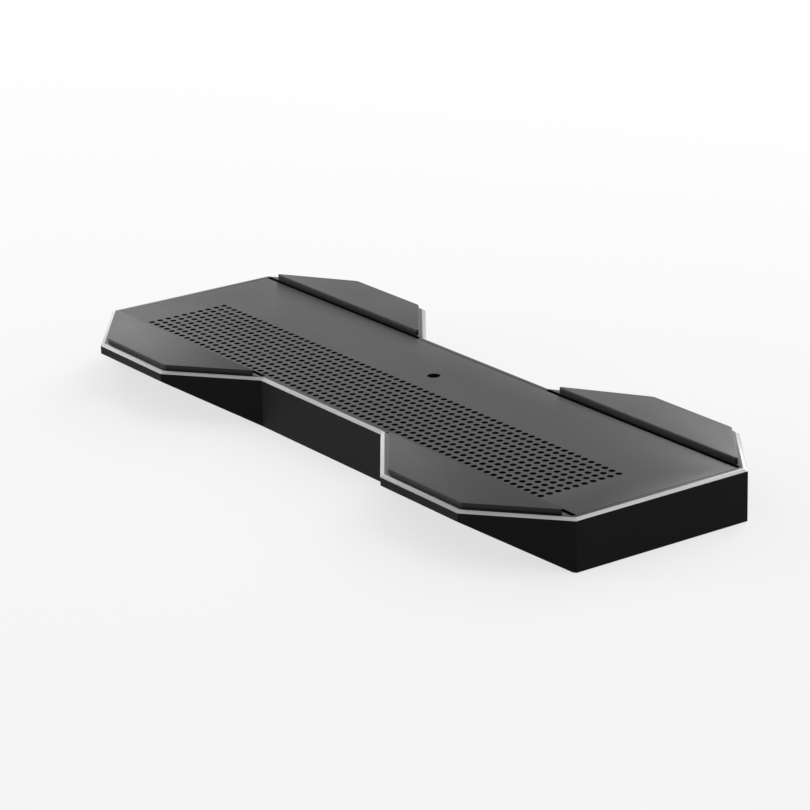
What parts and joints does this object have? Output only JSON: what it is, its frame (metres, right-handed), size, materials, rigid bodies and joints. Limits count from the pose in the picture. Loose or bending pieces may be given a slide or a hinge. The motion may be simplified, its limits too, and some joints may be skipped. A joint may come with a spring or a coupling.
{
  "type": "console vertical stand",
  "caption": "Low moulded stand with wedge wings at both ends, a perforated vent plate between them and rubber feet, for holding a games console upright.",
  "frame": {"origin": "middle of the rim that meets the console, which is the lowest plane as the stand lies here with its feet up", "axes": "+X along the stand, +Y across it to the side away from the vent rows, +Z from the console's end to the feet"},
  "size_m": [0.24, 0.0992, 0.0168],
  "materials": {
    "frame_plastic": "fine moulded texture, black, with a silver bevel round the top",
    "plate_plastic": "satin black",
    "foot_rubber": "smooth dull black",
    "cushion_rubber": "smooth dull black"
  },
  "bodies": {
    "root": {"base_frame": "frame_plastic", "vent_plate": "plate_plastic", "console_cushion_left": "cushion_rubber", "console_cushion_right": "cushion_rubber", "foot_pad_far_right": "foot_rubber", "foot_pad_far_left": "foot_rubber", "foot_pad_near_right": "foot_rubber", "foot_pad_near_left": "foot_rubber"}
  },
  "joints": []
}
